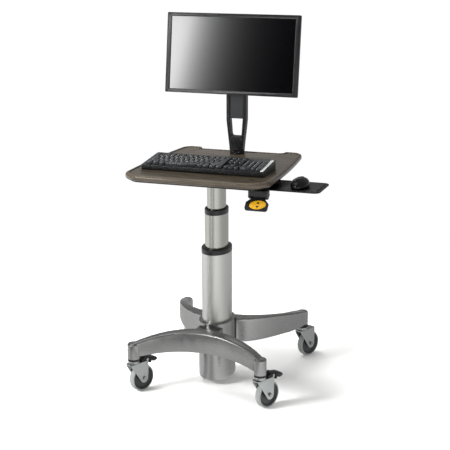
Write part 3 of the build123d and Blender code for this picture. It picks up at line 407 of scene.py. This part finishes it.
worktopEdge = {"rim": (1.3, 3, 35)}
worktop = cadCopy("worktop", "worktopBoard")
softenEdges(worktop, *worktopEdge["rim"])
finishPiece(worktop, finishes["laminate"], "deck", ["worktop"])

# a small oval cover let into the front right corner of the rim
oval = {"place": (0.196, -0.2385, 0.8198), "long": 10.5, "short": 4.5, "thick": 0.7,
        "sides": 40, "rim": 1.2, "sink": 0.3}
cover = startPiece("worktopOvalCover", bpy.ops.mesh.primitive_circle_add, vertices=oval["sides"],
                   radius=1, fill_type="NGON", location=oval["place"])
cover.scale = (oval["long"] * mm, oval["short"] * mm, 1)
bpy.ops.object.transform_apply(location=True, rotation=True, scale=True)
bpy.ops.object.mode_set(mode="EDIT")
bpy.ops.mesh.select_all(action="SELECT")
bpy.ops.mesh.extrude_region_move(TRANSFORM_OT_translate={"value": (0, 0, oval["thick"] * mm)})
bpy.ops.mesh.inset(thickness=oval["rim"] * mm)
bpy.ops.transform.translate(value=(0, 0, -oval["sink"] * mm))
bpy.ops.mesh.select_all(action="SELECT")
bpy.ops.mesh.normals_make_consistent(inside=False)
bpy.ops.object.mode_set(mode="OBJECT")
finishPiece(cover, finishes["housing"], "deck")

release = {"mouldingEdge": (1.4, 3, 35), "labelEdge": (0.3, 2, 40)}
housing = cadCopy("release_housing", "releaseHousingMoulding")
softenEdges(housing, *release["mouldingEdge"])
finishPiece(housing, finishes["housing"], "deck", ["release_housing"])
paddle = cadCopy("release_paddle", "releasePaddleMoulding")
softenEdges(paddle, *release["mouldingEdge"])
finishPiece(paddle, finishes["housing"], "paddle", ["release_paddle"])
label = cadCopy("release_label", "releaseLabelOval")
softenEdges(label, *release["labelEdge"])
finishPiece(label, finishes["yellow"], "paddle", ["release_label"])

# up and down arrows on the label, in the label's own plane
arrow = {"middle": Vector((0.234, -0.265, 0.771)), "drop": 33, "apart": 7.5, "size": 6.5, "thick": 0.3,
         "proud": 0.75}
labelOut = Vector((0, -1, 1)).normalized()
labelUp = labelOut.cross(sideways)
for name, sign in (("Up", 1), ("Down", -1)):
    mark = startPiece("labelArrow" + name, bpy.ops.mesh.primitive_circle_add, vertices=3,
                      radius=arrow["size"] * mm, fill_type="NGON")
    bpy.ops.object.mode_set(mode="EDIT")
    bpy.ops.mesh.select_all(action="SELECT")
    bpy.ops.mesh.extrude_region_move(TRANSFORM_OT_translate={"value": (0, 0, arrow["thick"] * mm)})
    bpy.ops.mesh.select_all(action="SELECT")
    bpy.ops.mesh.normals_make_consistent(inside=False)
    bpy.ops.object.mode_set(mode="OBJECT")
    spot = (arrow["middle"] + labelUp * (sign * arrow["apart"] - arrow["drop"]) * mm
            + labelOut * arrow["proud"] * mm)
    pointing = Matrix((sideways * sign, labelUp * sign, labelOut)).transposed().to_4x4()
    mark.matrix_world = Matrix.Translation(spot) @ pointing
    finishPiece(mark, finishes["ink"], "paddle")

mousePlace = {"trayEdge": (1.1, 2, 40), "mouseEdge": (0.5, 2, 40)}
tray = cadCopy("mouse_tray", "mouseTrayPressing")
softenEdges(tray, *mousePlace["trayEdge"])
finishPiece(tray, finishes["powder"], "tray", ["mouse_tray"])

for node, name, body in (("mouse_shell", "mouseShellMoulding", "mouse"),
                         ("mouse_button_left", "mouseButtonLeftCap", "mouse_left"),
                         ("mouse_button_right", "mouseButtonRightCap", "mouse_right")):
    part = cadCopy(node, name)
    softenEdges(part, *mousePlace["mouseEdge"])
    finishPiece(part, finishes["gloss"], body, [node], smooth=40)

print("keyboard")

board = {"slope": math.atan2(15, 160), "middle": Vector((-0.006, -0.112, 0.8455)), "pitch": 19.05,
         "left": -11.25, "low": -3.1, "shift": 4, "keyTop": 8, "dish": 0.5, "rim": 1.5,
         "caseLow": 0.8205, "caseFront": -0.19, "underRound": 6, "underSteps": 4, "caseEdge": (0.8, 2, 40),
         "capEdge": (0.55, 2, 35)}
boardOut = Vector((0, -math.sin(board["slope"]), math.cos(board["slope"])))
boardBack = Vector((0, math.cos(board["slope"]), math.sin(board["slope"])))

case = cadCopy("keyboard_case", "keyboardCaseMoulding")
pickEdges(case, lambda a, b: max(a.z, b.z) < board["caseLow"] and max(a.y, b.y) < board["caseFront"])
bpy.ops.mesh.bevel(offset=board["underRound"] * mm, segments=board["underSteps"])
softenEdges(case, *board["caseEdge"])
finishPiece(case, finishes["keyCase"], "keyboard", ["keyboard_case"])

for node, name, body in (("keyboard_keys", "keyboardKeycaps", "keys"),
                         ("keyboard_spacebar", "keyboardSpaceBar", "spacebar")):
    caps = cadCopy(node, name)
    pickFaces(caps, lambda centre, normal: normal.dot(boardOut) > 0.98)
    bpy.ops.mesh.inset(thickness=board["rim"] * mm, use_individual=True)
    bpy.ops.transform.translate(value=boardOut * -board["dish"] * mm)
    softenEdges(caps, *board["capEdge"])
    finishPiece(caps, finishes["keyCap"], body, [node])

# pale legends, one character near the top left of each letter and number key
rows = [(4, 1, "1234567890"), (3, 1.5, "QWERTYUIOP"), (2, 1.75, "ASDFGHJKL"), (1, 2.25, "ZXCVBNM"),
        (3, 18.5, "789"), (2, 18.5, "456"), (1, 18.5, "123")]
legend = {"size": 6.2, "left": 2.6, "up": 2.4, "proud": 0.06}
marks = []
for row, start, letters in rows:
    for place, letter in enumerate(letters):
        mark = startPiece("legend", bpy.ops.object.text_add)
        mark.data.body, mark.data.size, mark.data.resolution_u = letter, legend["size"] * mm, 2
        mark.data.align_x, mark.data.align_y = "CENTER", "CENTER"
        across = (board["left"] + start + place + 0.5) * board["pitch"] - legend["left"]
        back = (board["low"] + row) * board["pitch"] + board["shift"] + legend["up"]
        spot = (board["middle"] + Vector((across * mm, 0, 0)) + boardBack * back * mm
                + boardOut * (board["keyTop"] - board["dish"] + legend["proud"]) * mm)
        mark.matrix_world = Matrix.Translation(spot) @ Matrix.Rotation(board["slope"], 4, "X")
        marks.append(mark)
bpy.ops.object.select_all(action="DESELECT")
for mark in marks:
    mark.select_set(True)
bpy.context.view_layer.objects.active = marks[0]
bpy.ops.object.convert(target="MESH")
bpy.ops.object.join()
legends = bpy.context.active_object
legends.name = legends.data.name = "keyboardLegends"
finishPiece(legends, finishes["legend"], "keys")

# a pale satin strip along the right-hand end of the case: a painted highlight for the shine on its rounded
# end
highlightStrip = {"x": 0.2125, "half": (5.2, 70, 0.7), "corner": 4, "cornerSteps": 5, "edge": (0.3, 2, 40)}
strip = startPiece("keyboardEndHighlightStrip", bpy.ops.mesh.primitive_cube_add, size=2)
strip.matrix_world = (Matrix.Translation((highlightStrip["x"], board["middle"].y, board["middle"].z))
                      @ Matrix.Rotation(board["slope"], 4, "X")
                      @ Matrix.Diagonal(Vector((*[size * mm for size in highlightStrip["half"]], 1))))
selectOnly(strip)
bpy.ops.object.transform_apply(location=True, rotation=True, scale=True)
pickEdges(strip, lambda a, b: abs((a - b).normalized().dot(boardOut)) > 0.9)
bpy.ops.mesh.bevel(offset=highlightStrip["corner"] * mm, segments=highlightStrip["cornerSteps"])
softenEdges(strip, *highlightStrip["edge"])
finishPiece(strip, finishes["highlightStrip"], "keyboard")

print("monitor")

post = {"mastEdge": (1.5, 3, 40), "footEdge": (0.6, 2, 40)}
mast = cadCopy("mast", "mastExtrusion")
softenEdges(mast, *post["mastEdge"])
finishPiece(mast, finishes["powder"], "deck", ["mast"])
foot = cadCopy("mast_foot", "mastFootFlange")
softenEdges(foot, *post["footEdge"])
finishPiece(foot, finishes["powder"], "deck", ["mast_foot"])

# bezelSlots is the band, from the screen's middle, that holds the button slots
display = {"tilt": math.radians(8), "middle": Vector((0, 0.124, 1.201)), "bezelRound": 1.0, "bezelSteps": 3,
           "bezelSlots": (-0.1425, -0.1375), "backEdge": (2.2, 3, 25)}
screenOut = Vector((0, -math.cos(display["tilt"]), math.sin(display["tilt"])))
screenUp = Vector((0, math.sin(display["tilt"]), math.cos(display["tilt"])))


def outsideSlots(point):
    height = (point - display["middle"]).dot(screenUp)
    return not display["bezelSlots"][0] <= height <= display["bezelSlots"][1]


bezel = cadCopy("monitor_bezel", "monitorBezelMoulding")
pickEdges(bezel, lambda a, b: outsideSlots(a) and outsideSlots(b))
bpy.ops.mesh.bevel(offset=display["bezelRound"] * mm, segments=display["bezelSteps"])
finishPiece(bezel, finishes["bezel"], "monitor", ["monitor_bezel"])

back = cadCopy("monitor_back_cover", "monitorBackMoulding")
softenEdges(back, *display["backEdge"])
finishPiece(back, finishes["bezel"], "monitor", ["monitor_back_cover"])

# louvres across the top of the monitor's back
louvre = {"count": 34, "step": 8.0, "half": (1.5, 9, 0.9), "up": 60, "depth": 29.2,
          "edge": (0.5, 2, 40)}
slats = startPiece("monitorLouvres", bpy.ops.mesh.primitive_cube_add, size=2)
first = (display["middle"] + screenUp * louvre["up"] * mm - screenOut * louvre["depth"] * mm
         - sideways * (louvre["count"] - 1) / 2 * louvre["step"] * mm)
slats.matrix_world = (Matrix.Translation(first)
                      @ Matrix((sideways, screenUp, -screenOut)).transposed().to_4x4()
                      @ Matrix.Diagonal(Vector((*[size * mm for size in louvre["half"]], 1))))
selectOnly(slats)
bpy.ops.object.transform_apply(location=True, rotation=True, scale=True)
softenEdges(slats, *louvre["edge"])
applyModifier(slats, "ARRAY", count=louvre["count"], use_relative_offset=False, use_constant_offset=True,
              constant_offset_displace=(louvre["step"] * mm, 0, 0))
bpy.ops.object.mode_set(mode="EDIT")
bpy.ops.mesh.select_all(action="SELECT")
bpy.ops.mesh.normals_make_consistent(inside=False)
bpy.ops.object.mode_set(mode="OBJECT")
finishPiece(slats, finishes["bezel"], "monitor")

print("stage")

# reaches are metres from the column's foot, levels are how bright the sheet looks in the metal
sweep = {"size": 40, "fadeFrom": 0.9, "fadeTo": 2.4, "glow": 1.02, "columnY": -0.044,
         "patchPlace": (-0.3, -1.1, 0), "patchFrom": 0.2, "patchTo": 0.6, "patchLevel": 0.12,
         "openLevel": 1.5, "farFrom": 0.9, "farTo": 1.6, "farLevel": 1.3}
floor = startPiece("studioFloor", bpy.ops.mesh.primitive_plane_add, size=sweep["size"])
paper, paperTree, paperShader, paperPoints = startMaterial("paperSweepWhite", {"Base Color": "#f4f4f3",
                                                                               "Roughness": 0.9})
fibre = addNode(paperTree, "ShaderNodeTexNoise", {"Scale": 300.0}, {"Vector": paperPoints})
addNode(paperTree, "ShaderNodeBump", {"Strength": 0.02, "Distance": 0.0005}, {"Height": fibre.outputs[0]},
        {0: paperShader.inputs["Normal"]})
# the sheet fades into a lit white background, and shows darker in the metal than it looks
reach = addNode(paperTree, "ShaderNodeVectorMath", {"operation": "LENGTH"}, {0: paperPoints})
fade = addNode(paperTree, "ShaderNodeMapRange", {"From Min": sweep["fadeFrom"], "From Max": sweep["fadeTo"]},
               {"Value": reach.outputs["Value"]})
glow = addNode(paperTree, "ShaderNodeEmission", {"Color": (1, 1, 1, 1), "Strength": sweep["glow"]})
blend = addNode(paperTree, "ShaderNodeMixShader", None, {0: fade.outputs[0], 1: paperShader.outputs[0],
                                                        2: glow.outputs[0]})
# level by bearing from the column, in degrees from -Y towards +X, a painted reflection that only shiny
# surfaces see; it rises a little far off, and falls on a dark patch in front of the beam, a painted dark
# reflection
bearings = [(-180, 0.25), (-105, 0.55), (-68, 0.65), (-42, 0.34), (-29, 0.4), (-20, 0.62), (-10, 0.42),
            (4, 0.32), (28, 0.68), (60, 0.6), (100, 0.35), (180, 0.25)]
turned = addNode(paperTree, "ShaderNodeMapping", {"Location": (0, sweep["columnY"], 0), "Scale": (1, -1, 1)},
                 {"Vector": paperPoints})
axes = addNode(paperTree, "ShaderNodeSeparateXYZ", None, {0: turned.outputs[0]})
bearing = addNode(paperTree, "ShaderNodeMath", {"operation": "ARCTAN2"},
                  {0: axes.outputs["X"], 1: axes.outputs["Y"]})
around = addNode(paperTree, "ShaderNodeMapRange", {"From Min": -math.pi, "From Max": math.pi},
                 {"Value": bearing.outputs[0]})
ramp = addNode(paperTree, "ShaderNodeValToRGB", None, {0: around.outputs[0]})
for _ in bearings[2:]:
    ramp.color_ramp.elements.new(0.5)
for stop, (degrees, bright) in zip(ramp.color_ramp.elements, bearings):
    stop.position, stop.color = (degrees + 180) / 360, (bright, bright, bright, 1)
patch = addNode(paperTree, "ShaderNodeVectorMath", {"operation": "DISTANCE", 1: sweep["patchPlace"]},
                {0: paperPoints})
patchEdge = addNode(paperTree, "ShaderNodeMapRange", {
    "interpolation_type": "SMOOTHSTEP", "From Min": sweep["patchFrom"], "From Max": sweep["patchTo"],
    "To Min": sweep["patchLevel"], "To Max": sweep["openLevel"]}, {"Value": patch.outputs["Value"]})
farOff = addNode(paperTree, "ShaderNodeMapRange", {
    "From Min": sweep["farFrom"], "From Max": sweep["farTo"], "To Min": 1.0, "To Max": sweep["farLevel"]},
                 {"Value": reach.outputs["Value"]})
shade = addNode(paperTree, "ShaderNodeMath", {"operation": "MULTIPLY"},
                {0: patchEdge.outputs[0], 1: farOff.outputs[0]})
level = addNode(paperTree, "ShaderNodeMath", {"operation": "MULTIPLY"},
                {0: shade.outputs[0], 1: ramp.outputs[0]})
paintedReflectionGlow = addNode(paperTree, "ShaderNodeEmission", {"Color": (1, 1, 1, 1)}, {"Strength": level.outputs[0]})
rays = addNode(paperTree, "ShaderNodeLightPath")
seen = addNode(paperTree, "ShaderNodeMixShader", None, {0: rays.outputs["Is Glossy Ray"], 1: blend.outputs[0],
                                                       2: paintedReflectionGlow.outputs[0]},
               {0: paperTree.nodes["Material Output"].inputs["Surface"]})
floor.data.materials.append(paper)

lamps = [   # name, place, aim, width, height, watts, seen in gloss
    ("keySoftbox", (-2.3, -2.5, 2.1), (0, 0.1, 0.7), 1.1, 1.2, 200, False),
    ("leftSoftbox", (-1.9, -0.3, 0.62), (0, 0, 0.62), 0.5, 1.1, 16, False),
    ("rightSoftbox", (2.0, -0.9, 0.62), (0, 0, 0.62), 0.5, 1.1, 22, False),
    ("topSoftbox", (-0.9, 0.1, 3.6), (0, 0, 0.3), 2.6, 2.6, 130, False),
]
for name, place, aim, width, height, watts, inGloss in lamps:
    lamp = startPiece(name, bpy.ops.object.light_add, type="AREA", location=place)
    lamp.data.shape, lamp.data.size, lamp.data.size_y, lamp.data.energy = "RECTANGLE", width, height, watts
    lamp.rotation_euler = (Vector(aim) - Vector(place)).to_track_quat("-Z", "Y").to_euler()
    lamp.visible_glossy = inGloss

# cards seen only in shiny surfaces: one fades from left to right for the screen, the others
# draw soft lines along the upper edges and on the keys
cards = {
    "screenCard": {"place": (-1.25, -3.0, 1.7), "turn": (90, 0, 0), "size": (1.9, 0.6), "strength": 20.0,
                   "fadeFrom": -0.18, "halving": 0.076, "halvings": 12.0, "lean": -0.15},
    "topCard": {"place": (-1.0, -0.7, 3.2), "turn": (0, 0, 0), "size": (2.2, 1.6), "strength": 1.3},
    "rearCard": {"place": (-1.4, 3.2, 2.8), "turn": (90, 0, 0), "size": (2.6, 1.1), "strength": 0.8},
}
for name, card in cards.items():
    sheet = startPiece(name, bpy.ops.mesh.primitive_plane_add, size=1, location=card["place"])
    sheet.scale = (*card["size"], 1)
    bpy.ops.object.transform_apply(location=False, rotation=False, scale=True)
    sheet.rotation_euler = [math.radians(angle) for angle in card["turn"]]
    lit, litTree, litShader, litPoints = startMaterial(name + "Lit", {})
    glowing = addNode(litTree, "ShaderNodeEmission", {"Color": (1, 1, 1, 1), "Strength": card["strength"]},
                      None, {0: litTree.nodes["Material Output"].inputs["Surface"]})
    if "halving" in card:
        across = addNode(litTree, "ShaderNodeVectorMath", {
            "operation": "DOT_PRODUCT", 1: (1, card["lean"], 0)}, {0: litPoints})
        steps = addNode(litTree, "ShaderNodeMapRange", {
            "From Min": card["fadeFrom"], "From Max": card["fadeFrom"] + card["halvings"] * card["halving"],
            "To Max": card["halvings"]}, {"Value": across.outputs["Value"]})
        halved = addNode(litTree, "ShaderNodeMath", {"operation": "POWER", 0: 0.5}, {1: steps.outputs[0]})
        addNode(litTree, "ShaderNodeMath", {"operation": "MULTIPLY", 1: card["strength"]},
                {0: halved.outputs[0]}, {0: glowing.inputs["Strength"]})
    sheet.data.materials.append(lit)
    sheet.visible_camera = sheet.visible_diffuse = sheet.visible_shadow = False

# how bright the surroundings are as fill light, straight from the camera, and in shiny surfaces
air = {"fill": 0.45, "seen": 1.05, "inGloss": 0.22}
world = bpy.data.worlds.new("studioWhite")
bpy.context.scene.world = world
world.use_nodes = True
sky = world.node_tree
backdrop = sky.nodes["Background"]
backdrop.inputs["Color"].default_value = (1, 1, 1, 1)
skyRays = addNode(sky, "ShaderNodeLightPath")
straight = addNode(sky, "ShaderNodeMapRange", {"To Min": air["fill"], "To Max": air["seen"]},
                   {"Value": skyRays.outputs["Is Camera Ray"]})
addNode(sky, "ShaderNodeMix", {"data_type": "FLOAT", 3: air["inGloss"]},
        {0: skyRays.outputs["Is Glossy Ray"], 2: straight.outputs[0]}, {0: backdrop.inputs["Strength"]})
bpy.context.scene.view_settings.view_transform = "Standard"

shot = {"azimuth": 19.3, "elevation": 14.76, "distance": 4.361, "target": (0.0165, 0, 0.588), "lens": 94.6,
        "roll": -0.18}
azimuth, elevation = math.radians(shot["azimuth"]), math.radians(shot["elevation"])
backwards = Vector((math.sin(azimuth) * math.cos(elevation), -math.cos(azimuth) * math.cos(elevation),
                    math.sin(elevation)))
bpy.ops.object.camera_add(location=Vector(shot["target"]) + backwards * shot["distance"])
camera = bpy.context.active_object
camera.data.lens = shot["lens"]
aimed = (-backwards).to_track_quat("-Z", "Y").to_matrix()
camera.rotation_euler = (aimed @ Matrix.Rotation(math.radians(shot["roll"]), 3, "Z")).to_euler()
bpy.context.scene.camera = camera
